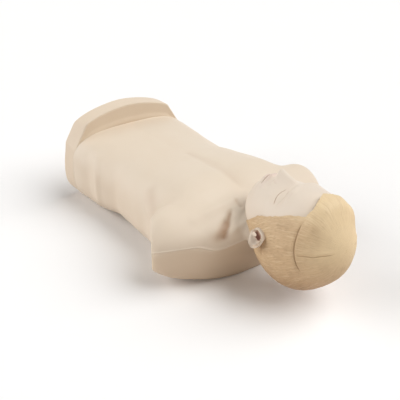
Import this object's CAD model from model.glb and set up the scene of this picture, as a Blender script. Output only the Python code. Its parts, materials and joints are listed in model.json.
"""Dressed model of a resuscitation training torso that lies on its back.

Places along the body are distances from the waist face, in metres. The head has its own frame with its
origin on the tilt axis: "up" runs to the crown and "forward" out of the face, both from the head's middle.
"""

import json
import logging
import math
from dataclasses import dataclass, field
from enum import Enum
from typing import Any, Callable, Sequence

import bmesh
import bpy
import numpy as np
from mathutils import Matrix, Vector


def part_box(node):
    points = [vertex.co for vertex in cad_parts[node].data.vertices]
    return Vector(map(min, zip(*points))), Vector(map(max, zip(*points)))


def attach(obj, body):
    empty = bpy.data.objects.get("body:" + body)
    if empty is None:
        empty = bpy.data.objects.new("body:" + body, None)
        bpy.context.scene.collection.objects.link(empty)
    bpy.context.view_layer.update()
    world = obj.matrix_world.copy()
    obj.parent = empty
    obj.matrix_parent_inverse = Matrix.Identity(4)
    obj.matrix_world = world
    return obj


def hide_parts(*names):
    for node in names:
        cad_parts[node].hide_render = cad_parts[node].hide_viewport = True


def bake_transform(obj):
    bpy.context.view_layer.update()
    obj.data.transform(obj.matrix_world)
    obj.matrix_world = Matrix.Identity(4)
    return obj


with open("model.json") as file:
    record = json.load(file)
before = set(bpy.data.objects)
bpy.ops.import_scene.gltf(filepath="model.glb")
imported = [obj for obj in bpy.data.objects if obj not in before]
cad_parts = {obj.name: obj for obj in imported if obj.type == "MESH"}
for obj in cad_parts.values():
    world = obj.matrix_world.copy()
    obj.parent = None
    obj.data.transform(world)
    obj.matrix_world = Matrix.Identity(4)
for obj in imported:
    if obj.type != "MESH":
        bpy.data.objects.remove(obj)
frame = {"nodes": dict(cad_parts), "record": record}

LOG = logging.getLogger("torso")
Array = np.ndarray
Colour = tuple[float, float, float]
Triple = tuple[float, float, float]

# Length of the whole figure; its middle is at X = 0
BODY_LENGTH = 0.6585
# Points that lie closer than this are one point
MERGE_DISTANCE = 2e-6


class Side(Enum):
    """The figure's own sides."""

    LEFT = -1
    RIGHT = 1


class Slot(Enum):
    """Finishes of the record that the pieces take."""

    SHELL = "shell_vinyl"
    SKIN = "skin_vinyl"
    FACE = "face_vinyl"
    HAIR = "hair_vinyl"
    INNER = "inner_plastic"
    GREY = "grey_plastic"
    RUBBER = "black_rubber"
    FILM = "airway_film"
    STEEL = "bright_steel"


def ease(value: Array) -> Array:
    """Smooth step from 0 to 1."""
    value = np.clip(value, 0.0, 1.0)
    return value * value * (3 - 2 * value)


def ramp(value: Array, start: float | Array, end: float | Array) -> Array:
    """Smooth step from 0 at the start to 1 at the end, which may lie below the start."""
    return ease((value - start) / (end - start))


def bell(value: Array, middle: float | Array, reach: float | Array) -> Array:
    """Bell curve of height 1."""
    return np.exp(-((value - middle) / reach) ** 2)


@dataclass(frozen=True)
class Curve:
    """Smooth curve through stations that never overshoots them."""

    places: tuple[float, ...]
    values: tuple[float, ...]

    def read(self, at: Array) -> Array:
        """Read the curve.

        Args:
            at: Places to read it at.

        Returns:
            The value at each place; the end values hold beyond the ends.
        """
        places, values = np.array(self.places), np.array(self.values)
        steps = np.diff(places)
        slopes = np.diff(values) / steps
        before, after = slopes[:-1], slopes[1:]
        heavy = 2 * steps[1:] + steps[:-1]
        light = steps[1:] + 2 * steps[:-1]
        rising = before * after > 0
        weights = heavy / np.where(rising, before, 1) + light / np.where(rising, after, 1)
        tangents = np.concatenate(([slopes[0]], np.where(rising, (heavy + light) / weights, 0), [slopes[-1]]))
        at = np.clip(at, places[0], places[-1])
        i = np.clip(np.searchsorted(places, at, "left") - 1, 0, len(steps) - 1)
        u = (at - places[i]) / steps[i]
        lead, trail = tangents[i] * (1 - u), tangents[i + 1] * u
        return (values[i] * (1 + 2 * u) * (1 - u) ** 2 + values[i + 1] * u * u * (3 - 2 * u)
                + steps[i] * u * (1 - u) * (lead - trail))


@dataclass(frozen=True)
class Stroke:
    """A groove or ridge drawn over the torso, on both sides or on the one that its side names.

    The points are (place along the body, distance from the middle, height). The stroke is as wide as its
    reach at its end, and its taper times that at its start. Its stain says how much it darkens the skin.
    """

    points: tuple[Triple, ...]
    reach: float
    rise: float
    stain: float = 0.0
    taper: float = 1.0
    side: Side | None = None

    def share(self, points: Array) -> Array:
        """Read how close points lie to the stroke.

        Args:
            points: Places along the body, across it and up.

        Returns:
            Shares from 0 far away to 1 on the stroke.
        """
        spots = points * np.array((1, 0, 1)) + np.abs(points) * np.array((0, 1, 0))
        route = np.array(self.points)
        nearest = np.full(len(spots), np.inf)
        for number, (start, end) in enumerate(zip(route, route[1:])):
            run = end - start
            share = np.clip((spots - start) @ run / (run @ run), 0, 1)
            done = (number + share) / (len(route) - 1)
            reach = self.reach * (self.taper + (1 - self.taper) * done)
            gap = np.linalg.norm(spots - start - share[:, None] * run, axis=1)
            nearest = np.minimum(nearest, gap / reach)
        if self.side:
            nearest = np.where(points[:, 1] * self.side.value < 0, np.inf, nearest)
        return bell(nearest, 0.0, 1.0)


@dataclass(frozen=True)
class TorsoForm:
    """Outer form of the torso: sections along the body, soft anatomy and the cut shoulder ends."""

    waist_half_width: float = 0.140
    waist_widest: float = 0.072
    waist_back: float = -0.006
    rim_depth: float = 0.040
    rim_front: float = 0.1865
    rim_fall: float = 0.15
    rim_crown: float = 0.020
    pivot_at: float = 0.524
    pivot_height: float = 0.096
    neck_radius: float = 0.0475
    neck_end: float = 0.012
    armpit_at: float = 0.352
    stub_half_width: float = 0.1545
    stub_slant: float = math.radians(33)
    edge_round: float = 0.0011
    # The strokes together sink the skin no deeper than this
    deepest: float = 0.0047
    # Soft anatomy as place, distance from the middle, reach along, reach across and rise: chest muscle,
    # breastbone, belly, armpit, shoulder, collar bone, hollow above it and pit of the throat
    bumps: tuple[tuple[float, float, float, float, float], ...] = (
        (0.360, 0.070, 0.045, 0.045, 0.0045), (0.350, 0.0, 0.060, 0.018, -0.003),
        (0.220, 0.0, 0.030, 0.050, -0.003), (0.362, 0.128, 0.024, 0.024, -0.014),
        (0.397, 0.168, 0.026, 0.028, 0.007), (0.434, 0.075, 0.008, 0.045, 0.004),
        (0.464, 0.066, 0.012, 0.024, -0.007), (0.454, 0.0, 0.012, 0.012, -0.003))
    strokes: tuple[Stroke, ...] = (
        # Crease between neck and shoulder, with its two softer flanks and the fold beside it
        Stroke(((0.446, 0.052, 0.1240), (0.455, 0.063, 0.1170), (0.464, 0.073, 0.110), (0.470, 0.081, 0.1035),
                (0.4715, 0.084, 0.092)), 0.0048, -0.0034, 0.40, 0.50),
        Stroke(((0.4486, 0.058, 0.1219), (0.4572, 0.0703, 0.1145), (0.4655, 0.0823, 0.107),
                (0.469, 0.0891, 0.0957)), 0.0100, -0.0028, 0.38, 0.40),
        Stroke(((0.4579, 0.073, 0.1138), (0.4648, 0.0891, 0.1052), (0.466, 0.0983, 0.0937)),
               0.0130, -0.0020, 0.30, 0.40),
        Stroke(((0.457, 0.0507, 0.1193), (0.4655, 0.0609, 0.1131), (0.4754, 0.0677, 0.1046)), 0.0050, 0.0016),
        # Notch at the end of the collar bone
        Stroke(((0.4345, 0.0310, 0.1320), (0.4399, 0.0317, 0.1289), (0.4457, 0.0304, 0.1261)),
               0.0050, -0.0032, 0.36, 0.7),
        # Tendons of the neck, and the hollow that leaves room for the jaw when the head bows
        Stroke(((0.452, 0.030, 0.127), (0.470, 0.036, 0.127), (0.490, 0.032, 0.130)), 0.0060, 0.0020),
        Stroke(((0.470, 0.052, 0.121), (0.492, 0.046, 0.118)), 0.0045, 0.0013),
        Stroke(((0.474, 0.0545, 0.110), (0.486, 0.0505, 0.1120), (0.502, 0.0465, 0.1115)), 0.0130, -0.0044),
        # Hollow over the shoulder, and the ridge of the collar bone
        Stroke(((0.436, 0.104, 0.120), (0.447, 0.118, 0.113)), 0.0160, -0.0014, 0.06),
        Stroke(((0.424, 0.024, 0.138), (0.432, 0.070, 0.135), (0.431, 0.120, 0.123)), 0.0080, 0.0012),
        # Lines down the breastbone and the belly
        Stroke(((0.255, 0.0, 0.151), (0.330, 0.004, 0.153), (0.412, 0.0, 0.147)), 0.0100, -0.0024, 0.30),
        Stroke(((0.075, 0.0, 0.147), (0.190, 0.0, 0.147)), 0.0130, -0.0016, 0.14),
        # Ridge on the left flank between two hollows, and the right flank's one hollow
        Stroke(((0.116, 0.121, 0.117), (0.130, 0.132, 0.094), (0.133, 0.135, 0.062), (0.133, 0.134, 0.036)),
               0.0095, 0.0032, side=Side.LEFT),
        Stroke(((0.080, 0.130, 0.112), (0.094, 0.136, 0.090), (0.096, 0.136, 0.040)), 0.0170, -0.0032, 0.17,
               side=Side.LEFT),
        Stroke(((0.170, 0.122, 0.108), (0.184, 0.130, 0.086), (0.187, 0.131, 0.040)), 0.0200, -0.0032, 0.17,
               side=Side.LEFT),
        Stroke(((0.222, 0.090, 0.132), (0.240, 0.112, 0.112), (0.245, 0.124, 0.070)), 0.0260, -0.0046, 0.06,
               side=Side.RIGHT),
        # Hollow and fold over the ribs, and the armpit
        Stroke(((0.300, 0.130, 0.100), (0.312, 0.138, 0.075), (0.310, 0.134, 0.045)), 0.0200, -0.0030, 0.10),
        Stroke(((0.284, 0.124, 0.113), (0.300, 0.133, 0.103), (0.312, 0.139, 0.088)), 0.0090, 0.0016),
        Stroke(((0.298, 0.119, 0.122), (0.320, 0.131, 0.113), (0.338, 0.142, 0.105), (0.351, 0.152, 0.097),
                (0.355, 0.157, 0.076)), 0.0230, -0.0044, 0.30, 0.8))

    def along(self, at: Array) -> Array:
        """World X of a place along the body."""
        return at - BODY_LENGTH / 2

    def sections(self) -> Array:
        """Lay out the sections along the body.

        Returns:
            Rows of place, half width, front, widest level, back, front power and back power.
        """
        waist = (self.waist_half_width, 0.145, self.waist_widest, self.waist_back, 3.2, 3.4)
        rows = [
            (0.000, *waist), (self.rim_depth, *waist),
            (0.110, 0.138, 0.148, 0.066, -0.006, 2.8, 3.3), (0.190, 0.133, 0.147, 0.061, 0.005, 2.6, 2.9),
            (0.270, 0.137, 0.152, 0.061, -0.003, 2.6, 2.7), (0.330, 0.146, 0.156, 0.064, -0.006, 2.6, 2.7),
            (0.352, 0.158, 0.156, 0.066, -0.006, 2.6, 2.7), (0.395, 0.200, 0.147, 0.075, -0.006, 2.5, 2.7),
            (0.420, 0.191, 0.138, 0.077, -0.006, 2.3, 2.8), (0.448, 0.150, 0.126, 0.081, -0.006, 2.1, 2.8),
            (0.460, 0.120, 0.125, 0.085, -0.003, 2.0, 2.5), (0.474, 0.076, 0.127, 0.092, 0.050, 2.0, 2.0),
            (0.485, 0.0555, 0.131, self.pivot_height, self.pivot_height - self.ball(-0.039), 2.0, 2.0)]
        for past in (-0.016, 0.0, self.neck_end):
            half = self.ball(past)
            rows.append((self.pivot_at + past, self.neck_radius, self.pivot_height + half, self.pivot_height,
                         self.pivot_height - half, 2.0, 2.0))
        return np.array(rows)

    def ball(self, past: float) -> float:
        """Half height of the neck's ball at a distance past the tilt axis."""
        return math.sqrt(self.neck_radius ** 2 - past ** 2)

    def parting(self, at: Array) -> Array:
        """Read the parting line between skin and shell.

        Args:
            at: Places along the body.

        Returns:
            Its angles on the sections there.
        """
        places = (0.0, 0.300, 0.352, 0.390, 0.420, 0.448, 0.460, 0.474, 0.485, 0.536)
        degrees = (-48.0, -48.0, -36.0, -12.0, 0.0, 3.0, -3.0, -23.8, -28.0, -28.0)
        return np.radians(Curve(places, degrees).read(at))

    def parting_radius(self, at: Array) -> Array:
        """Radius at the parting line, which turns a short length round the body into an angle."""
        return np.interp(at, (0.04, 0.40, 0.49), (0.0966, 0.133, 0.035))

    @staticmethod
    def section_point(turn: Array, columns: Sequence[Array]) -> tuple[Array, Array]:
        """Read points of sections.

        Args:
            turn: Angles from the right side, turning over the front.
            columns: Half width, front, widest level, back, front power and back power at each of them.

        Returns:
            The widths and the heights.
        """
        half_width, front, widest, back, front_power, back_power = columns
        across, up = np.cos(turn), np.sin(turn)
        power = np.where(up >= 0, front_power, back_power)
        rise = np.where(up >= 0, front - widest, widest - back)
        width = np.sign(across) * np.abs(across) ** (2 / power) * half_width
        return width, widest + np.sign(up) * np.abs(up) ** (2 / power) * rise

    def plain(self, at: Array, turn: Array) -> Array:
        """Read points of the plain torso with its soft anatomy.

        Args:
            at: Places along the body.
            turn: Angles on the section.

        Returns:
            Points in the body's frame.
        """
        rows = self.sections()
        places = tuple(rows[:, 0])
        columns = [Curve(places, tuple(column)).read(at) for column in rows[:, 1:].T]
        width, height = self.section_point(turn, columns)
        relief = np.zeros_like(at)
        for place, side, reach_along, reach_across, rise in self.bumps:
            relief += rise * bell(at, place, reach_along) * bell(np.abs(width), side, reach_across)
        return np.stack((self.along(at), width, height + relief * np.maximum(0, np.sin(turn))), 1)

    def normals(self, at: Array, turn: Array) -> Array:
        """Read the outward directions of the plain torso.

        Args:
            at: Places along the body.
            turn: Angles on the section.

        Returns:
            Directions of length 1.
        """
        step, swing = 0.0006, 0.003
        length = self.plain(at + step, turn) - self.plain(at - step, turn)
        girth = self.plain(at, turn + swing) - self.plain(at, turn - swing)
        out = np.cross(girth, length)
        return out / np.maximum(np.linalg.norm(out, axis=1), 1e-12)[:, None]

    def dressed(self, at: Array, turn: Array, rise: Array | float = 0.0) -> tuple[Array, Array]:
        """Read points with the drawn folds, and how deep each lies in a fold.

        Args:
            at: Places along the body.
            turn: Angles on the section.
            rise: Extra rise over the surface.

        Returns:
            Points in the body's frame, and fold depth from 0 to 1.
        """
        points = self.plain(at, turn)
        local = points + np.array((BODY_LENGTH / 2, 0, 0))
        shares = [stroke.share(local) for stroke in self.strokes]
        drawn = sum(stroke.rise * share for stroke, share in zip(self.strokes, shares))
        drawn = np.where(drawn < 0, -self.deepest * np.tanh(-drawn / self.deepest), drawn)
        stain = sum(stroke.stain * share for stroke, share in zip(self.strokes, shares))
        points = points + self.normals(at, turn) * (drawn + rise)[:, None]
        return self.press(points), np.clip(stain, 0, 1)

    def press(self, points: Array) -> Array:
        """Press the shoulder ends and the back flat, with softly rounded edges.

        Args:
            points: Points in the body's frame.

        Returns:
            The points, moved to or inside the flats.
        """
        points = points.copy()
        armpit = self.along(self.armpit_at)
        gate = ramp(points[:, 0], armpit - 0.006, armpit + 0.002)
        for side in Side:
            normal = np.array((-math.sin(self.stub_slant), side.value * math.cos(self.stub_slant), 0))
            origin = np.array((armpit, side.value * self.stub_half_width, 0))
            over = (points - origin) @ normal
            shift = self.edge_round * np.logaddexp(0, over / self.edge_round) * gate
            points[:, 1] -= side.value * shift / math.cos(self.stub_slant)
        points[:, 2] = self.edge_round * np.logaddexp(0, points[:, 2] / self.edge_round)
        return points


@dataclass(frozen=True)
class HeadForm:
    """Plain form of the head, read by turn from the face and fall from the crown."""

    flex: float = math.radians(8)
    ahead: float = 0.030
    above: float = 0.012
    skull: Triple = (0.094, 0.0745, 0.092)
    skull_middle: Triple = (0.012, 0.0, -0.004)
    jaw: Triple = (0.066, 0.056, 0.058)
    jaw_middle: Triple = (-0.040, 0.0, 0.026)
    run_in: float = 0.005
    face_sink: float = 0.003
    temple_fall: float = 48.5
    temple_turn: float = 36.0
    jaw_turn: float = 70.0
    lower_fall: float = 136.0
    lower_swing: float = 14.0
    opening_up: float = -0.020
    opening_half_width: float = 0.0535
    opening_half_depth: float = 0.0507

    def frame(self) -> Matrix:
        """Find the head's frame.

        Returns:
            The frame on the tilt axis, in the body's frame.
        """
        torso = TorsoForm()
        place = Vector((torso.along(torso.pivot_at), 0, torso.pivot_height))
        return Matrix.Translation(place) @ Matrix.Rotation(-self.flex, 4, "Y")

    def to_body(self, points: Array) -> Array:
        """Move points from the head's middle to the body's frame."""
        turn = np.array(self.frame())
        return (points + np.array((self.ahead, 0, self.above))) @ turn[:3, :3].T + turn[:3, 3]

    def middle(self) -> Vector:
        """The head's middle in the body's frame."""
        return Vector(self.to_body(np.zeros((1, 3)))[0])

    @staticmethod
    def directions(turn: Array, fall: Array) -> Array:
        """Unit directions as up, side and forward, from angles in degrees."""
        turn, fall = np.radians(turn), np.radians(fall)
        return np.stack((np.cos(fall), np.sin(fall) * np.sin(turn), np.sin(fall) * np.cos(turn)), 1)

    def reach(self, directions: Array) -> Array:
        """Read the plain head, whose braincase and face run into each other.

        Args:
            directions: Unit directions from the head's middle.

        Returns:
            Distances from the middle to the surface.
        """
        reaches = []
        for middle, radii in ((self.skull_middle, self.skull), (self.jaw_middle, self.jaw)):
            centre, radius = np.array(middle), np.array(radii)
            a = ((directions / radius) ** 2).sum(1)
            b = (directions * centre / radius ** 2).sum(1)
            c = ((centre / radius) ** 2).sum() - 1
            reaches.append((b + np.sqrt(np.maximum(0, b * b - a * c))) / a)
        return self.run_in * np.logaddexp(reaches[0] / self.run_in, reaches[1] / self.run_in)

    def point(self, turn: Array, fall: Array, rise: Array | float = 0.0) -> Array:
        """Points over the plain head by a rise, from the head's middle."""
        directions = self.directions(turn, fall)
        return directions * (self.reach(directions) + rise)[:, None]

    def half_width(self, up: Array, forward: Array) -> Array:
        """Find the half width of the plain head by halving the room again and again.

        Args:
            up: Heights on the side of the head.
            forward: Distances to the front there.

        Returns:
            Distances from the head's middle plane to its side.
        """
        halvings = 30
        low, high = np.zeros_like(up), np.full_like(up, 2 * self.skull[1])
        for _ in range(halvings):
            middle = (low + high) / 2
            spots = np.stack((up, middle, forward), 1)
            length = np.linalg.norm(spots, axis=1)
            inside = length < self.reach(spots / length[:, None])
            low, high = np.where(inside, middle, low), np.where(inside, high, middle)
        return low

    def hairline(self, turn: Array) -> Array:
        """Fall of the hair's edge over the forehead."""
        line = Curve((0.0, 15.0, 26.0, self.temple_turn), (54.0, 49.0, 47.5, self.temple_fall))
        return line.read(np.abs(turn))

    def face_edge(self, fall: Array) -> Array:
        """Read the line between face and hair, from the temple to the jaw.

        Args:
            fall: Angles from the crown, in degrees.

        Returns:
            Its turns from the face there.
        """
        end = float(self.jaw_line(np.array([self.jaw_turn]))[0])
        falls = (self.temple_fall, 53.0, 62.0, 73.0, 87.0, 101.0, 112.0, 119.0, end)
        turns = tuple(self.temple_turn + more for more in (0.0, 2.0, 6.0, 11.0, 15.5, 18.0, 20.0, 24.0))
        return Curve(falls, (*turns, self.jaw_turn)).read(fall)

    def jaw_line(self, turn: Array) -> Array:
        """Fall of the head's lower edge."""
        return self.lower_fall + self.lower_swing * np.cos(np.radians(turn))

    def opening(self, turn: Array) -> Array:
        """Read the edge of the neck opening.

        Args:
            turn: Angles from the face, in degrees.

        Returns:
            Points from the head's middle.
        """
        turn = np.radians(turn)
        ring = np.stack((np.full_like(turn, self.opening_up), self.opening_half_width * np.sin(turn),
                         self.opening_half_depth * np.cos(turn)), 1)
        return ring - np.array((self.ahead, 0, self.above))


class Sheet:
    """Dense sheet of quads that is shaped by moving its points."""

    def __init__(self, rows: int, columns: int) -> None:
        """Start from a flat grid.

        Args:
            rows: Steps along the sheet.
            columns: Steps across it.
        """
        self.bm = bmesh.new()
        bmesh.ops.create_grid(self.bm, x_segments=rows, y_segments=columns, size=0.5)
        self.bm.verts.ensure_lookup_table()
        flat = np.array([vert.co[:2] for vert in self.bm.verts]) + 0.5
        self.row = np.rint(flat[:, 0] * rows).astype(int)
        self.column = np.rint(flat[:, 1] * columns).astype(int)
        self.marks: dict[str, Array] = {}

    def shape(self, points: Array) -> None:
        """Move every point of the sheet to its place."""
        for vert, point in zip(self.bm.verts, points):
            vert.co = point

    def mark(self, name: str, values: Array) -> None:
        """Keep a value or a vector per point.

        Args:
            name: Name that a finish reads it by.
            values: Numbers, or rows of three.
        """
        self.marks[name] = values
        layers = self.bm.verts.layers
        if values.ndim == 1:
            layer = layers.float.new(name)
            for vert, value in zip(self.bm.verts, values):
                vert[layer] = float(value)
        else:
            layer = layers.float_vector.new(name)
            for vert, value in zip(self.bm.verts, values):
                vert[layer] = Vector(value)

    def drop(self, gone: Array) -> None:
        """Take out points, with the faces at them.

        Args:
            gone: Mask that is true at those points.
        """
        self.bm.verts.ensure_lookup_table()
        verts = [vert for vert, out in zip(self.bm.verts, gone) if out]
        bmesh.ops.delete(self.bm, geom=verts, context="VERTS")

    def close(self) -> None:
        """Merge the points that meet and make the faces agree."""
        bmesh.ops.remove_doubles(self.bm, verts=self.bm.verts, dist=MERGE_DISTANCE)
        bmesh.ops.recalc_face_normals(self.bm, faces=self.bm.faces)

    def weld(self, inside: Callable[[Vector], Vector]) -> None:
        """Close the sheet and turn its faces outwards.

        Args:
            inside: Gives the point inside the piece that a face turns away from.
        """
        self.close()
        outward = 0.0
        for face in self.bm.faces:
            middle = face.calc_center_median()
            outward += (middle - inside(middle)).dot(face.normal) * face.calc_area()
        if outward < 0:
            bmesh.ops.reverse_faces(self.bm, faces=self.bm.faces)

    def join(self, other: "Sheet") -> None:
        """Add another sheet, with its marks, to this one.

        Args:
            other: Sheet that is used up.
        """
        spare = bpy.data.meshes.new("spare")
        other.bm.to_mesh(spare)
        other.bm.free()
        self.bm.from_mesh(spare)
        bpy.data.meshes.remove(spare)

    def finish(self, name: str, material: bpy.types.Material, slot: Slot,
               sharp: float = 50.0) -> bpy.types.Object:
        """Turn the sheet into a smooth piece of the scene.

        Args:
            name: Name of the piece.
            material: Its finish.
            slot: The record's slot of that finish.
            sharp: Angle in degrees above which an edge stays sharp.

        Returns:
            The piece, at the origin.
        """
        mesh = bpy.data.meshes.new(name)
        self.bm.to_mesh(mesh)
        self.bm.free()
        mesh.shade_smooth()
        mesh.set_sharp_from_angle(angle=math.radians(sharp))
        mesh.materials.append(material)
        piece = bpy.data.objects.new(name, mesh)
        bpy.context.scene.collection.objects.link(piece)
        LOG.info("piece %s: %d faces", name, len(mesh.polygons))
        return piece


def spread(count: int, stops: Sequence[tuple[float, float]]) -> Array:
    """Places of rows, closer where a detail needs it.

    Args:
        count: Number of steps.
        stops: Pairs of share of the steps and share of the length.

    Returns:
        Shares of the length, one for each row.
    """
    shares, lengths = zip(*stops)
    return np.interp(np.linspace(0, 1, count + 1), shares, lengths)


def trunk_line(point: Vector) -> Vector:
    """Nearest point of a line inside the trunk, from the waist to the neck."""
    waist, neck, level = -0.27, 0.16, 0.075
    return Vector((min(max(point.x, waist), neck), 0, level))


def points_of(piece: bpy.types.Object) -> Array:
    """Read the places of a piece's points.

    Args:
        piece: Piece at the origin.

    Returns:
        Rows of X, Y and Z.
    """
    places = np.zeros(len(piece.data.vertices) * 3, np.float32)
    piece.data.vertices.foreach_get("co", places)
    return places.reshape(-1, 3).astype(float)


def values_of(piece: bpy.types.Object, name: str) -> Array:
    """Read a mark on a piece's points.

    Args:
        piece: Piece that has the mark.
        name: Name of the mark.

    Returns:
        One number for each point.
    """
    values = np.zeros(len(piece.data.vertices), np.float32)
    piece.data.attributes[name].data.foreach_get("value", values)
    return values


@dataclass
class ChestSkin:
    """Soft skin over the front and sides, from the rim to the neck, that sinks with the rib plate."""

    form: TorsoForm = field(default_factory=TorsoForm)
    rows: int = 216
    columns: int = 188
    hem_steps: int = 2
    rim_gap: float = 0.0004
    seam: float = 0.0007
    wall: float = 0.0016
    hem: float = 0.0070
    lip: float = 0.0008
    lip_reach: float = 0.0016
    nick: float = 0.0006
    nick_reach: float = 0.0009
    wear_reach: float = 0.006
    press_at: float = 0.311
    # Where the movement fades out and where it is whole: along from the middle, across from it and up
    press_along: tuple[float, float] = (0.074, 0.019)
    press_across: tuple[float, float] = (0.086, 0.024)
    press_up: tuple[float, float] = (0.09, 0.12)

    def press_weights(self, places: Array, middle: float) -> Array:
        """Share of the rib plate's movement, which fades out round the plate.

        Args:
            places: Points of the skin.
            middle: World X of the plate's middle.

        Returns:
            Shares from 0 to 1.
        """
        along = ramp(np.abs(places[:, 0] - middle), *self.press_along)
        across = ramp(np.abs(places[:, 1]), *self.press_across)
        return along * across * ramp(places[:, 2], *self.press_up)

    def build(self, material: bpy.types.Material) -> bpy.types.Object:
        """Shape the skin, with lips along its edges and turned hems under them.

        Args:
            material: Finish of the skin.

        Returns:
            The skin, bending between the torso and the chest plate.
        """
        hems = self.hem_steps
        sheet = Sheet(self.rows + hems, self.columns + 2 * hems)
        start = self.form.rim_depth + self.rim_gap
        end = self.form.pivot_at + self.form.neck_end
        lengths = spread(self.rows, ((0, 0), (0.04, 0.016), (0.46, 0.56), (0.92, 0.93), (1, 1)))
        at = start + (end - start) * lengths[np.clip(sheet.row - hems, 0, self.rows)]
        shares = spread(self.columns, ((0, 0), (0.04, 0.012), (0.96, 0.988), (1, 1)))
        share = shares[np.clip(sheet.column - hems, 0, self.columns)]
        turned = np.maximum(hems - sheet.column, sheet.column - self.columns - hems)
        under = np.clip(np.maximum(turned, hems - sheet.row) / hems, 0, 1)
        first = self.form.parting(at) + self.seam / self.form.parting_radius(at)
        turn = first + share * (math.pi - 2 * first)
        girth = np.interp(at, (0.04, 0.395, 0.46, 0.49), (0.52, 0.60, 0.32, 0.19))
        from_edge = np.minimum(np.minimum(share, 1 - share) * girth, at - start)
        lip = self.lip * bell(from_edge, self.lip_reach, self.lip_reach)
        lip -= self.nick * bell(from_edge, 0.0, self.nick_reach)
        tuck = np.where(sheet.row < hems, self.hem, self.wall) * under
        points, fold = self.form.dressed(at, turn, lip - tuck)
        sheet.shape(points)
        sheet.mark("fold", np.maximum(fold, 0.8 * under))
        sheet.mark("edge", bell(from_edge, 0.0, self.wear_reach))
        sheet.weld(trunk_line)
        piece = sheet.finish("chest_skin_soft", material, Slot.SKIN)
        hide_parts("chest_skin")
        middle = self.form.along(self.press_at)
        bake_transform(piece)
        self.press_weights(points_of(piece), middle)
        return piece


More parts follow.
